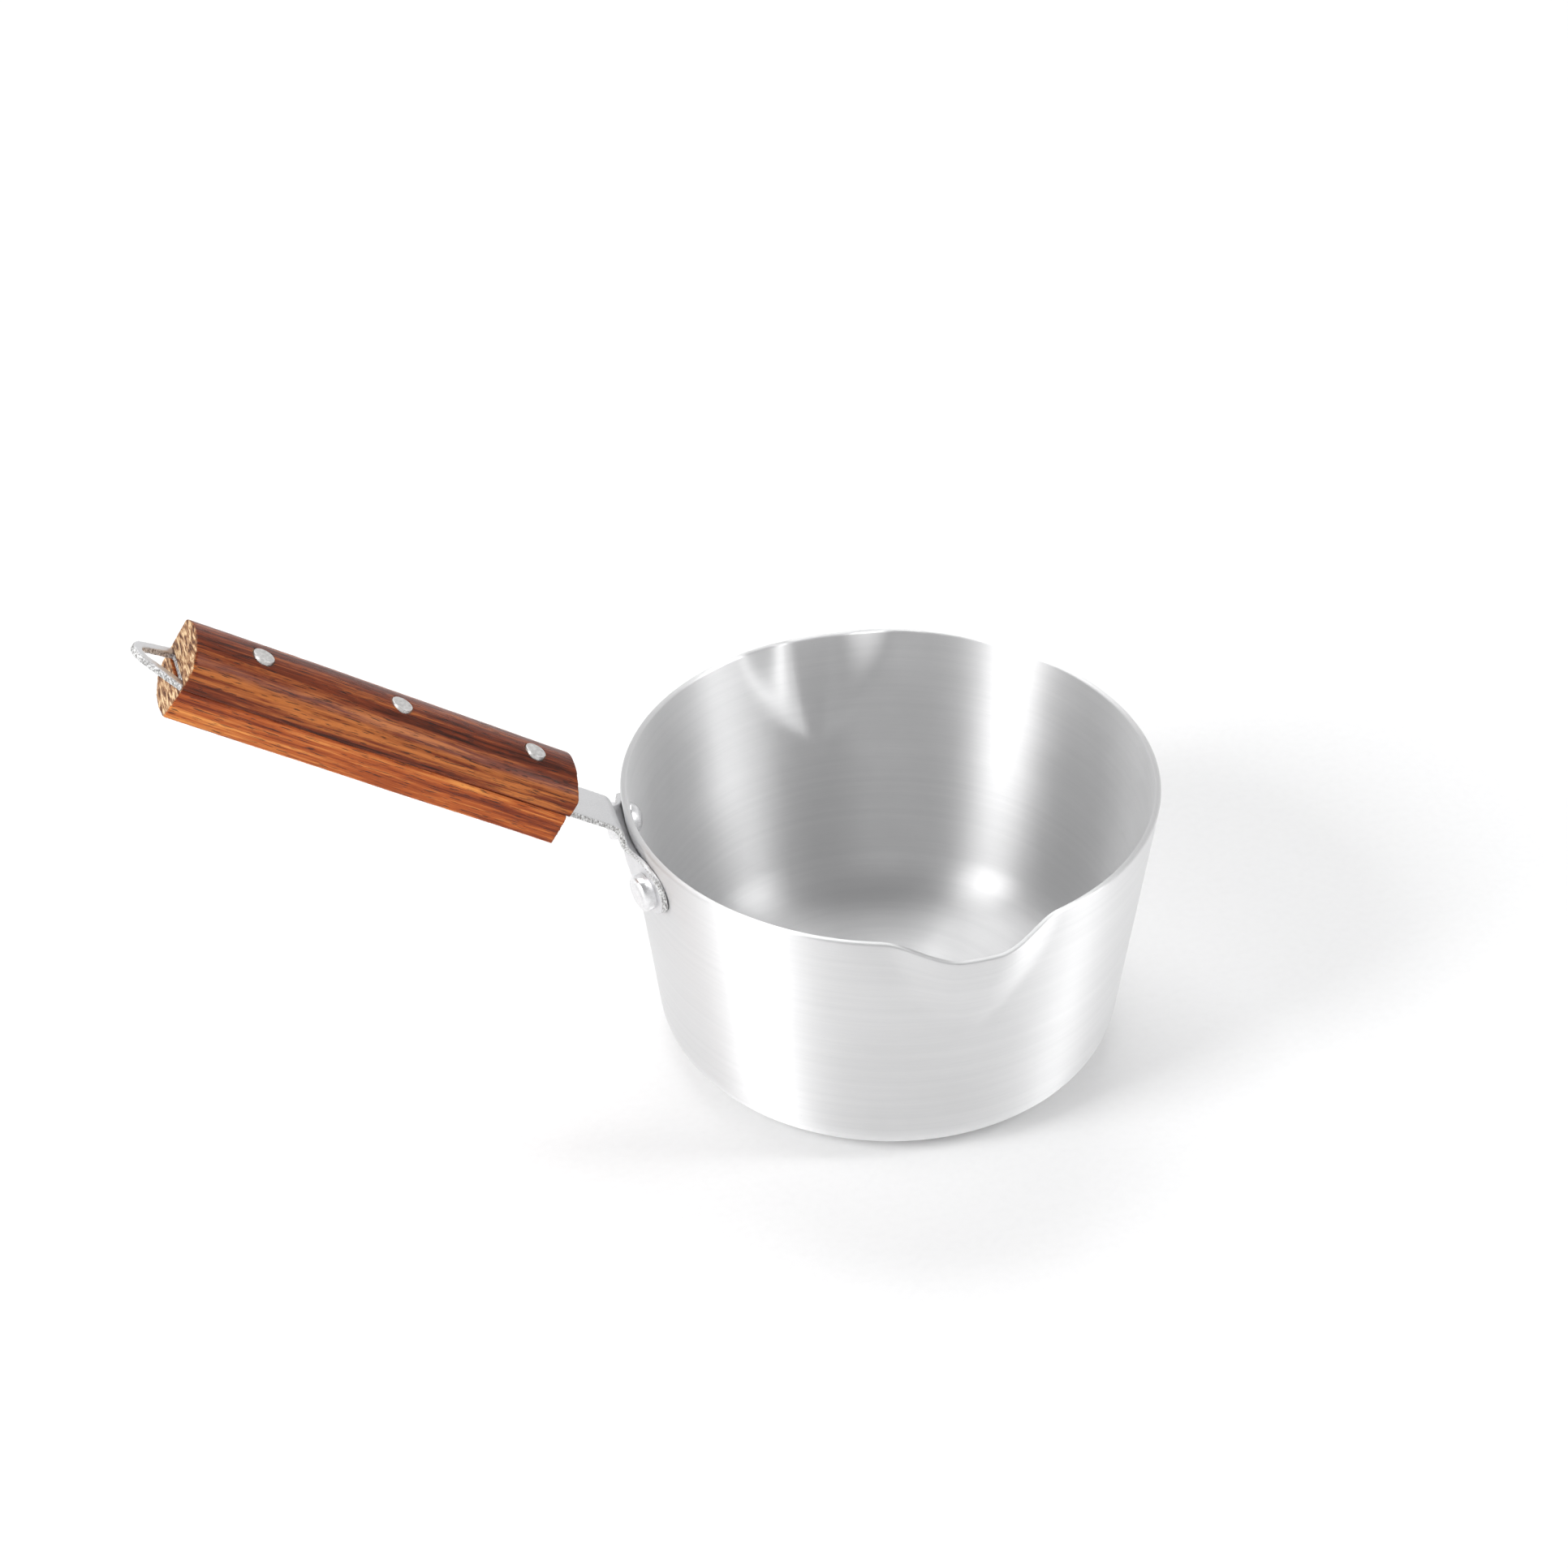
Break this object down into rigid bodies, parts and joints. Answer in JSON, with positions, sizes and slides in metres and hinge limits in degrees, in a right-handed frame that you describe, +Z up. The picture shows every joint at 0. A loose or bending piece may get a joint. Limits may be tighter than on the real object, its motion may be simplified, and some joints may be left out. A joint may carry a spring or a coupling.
{
  "type": "candle melting pot",
  "caption": "Small metal pouring pot with a flat base, leaning wall, opposed pouring lips and a raised wooden handle ending in a hanging eye.",
  "frame": {"origin": "centre of the flat base, on the surface that the pot stands on", "axes": "+Z up along the pot's axis; +X from the pot's axis towards the handle; +Y and -Y through the pouring lips"},
  "size_m": [0.2972, 0.1708, 0.1775],
  "materials": {
    "aluminium": "satin",
    "plate_steel": "matt, sheared edges",
    "rivet": "satin",
    "upper_wood": "oiled, dark grain",
    "lower_wood": "oiled, orange grain"
  },
  "bodies": {
    "root": {"pot_body": "aluminium", "handle_plate": "plate_steel", "upper_scale": "upper_wood", "lower_scale": "lower_wood", "bracket_rivet_left": "rivet", "bracket_rivet_right": "rivet", "handle_rivet_front": "rivet", "handle_rivet_middle": "rivet", "handle_rivet_rear": "rivet"}
  },
  "joints": []
}
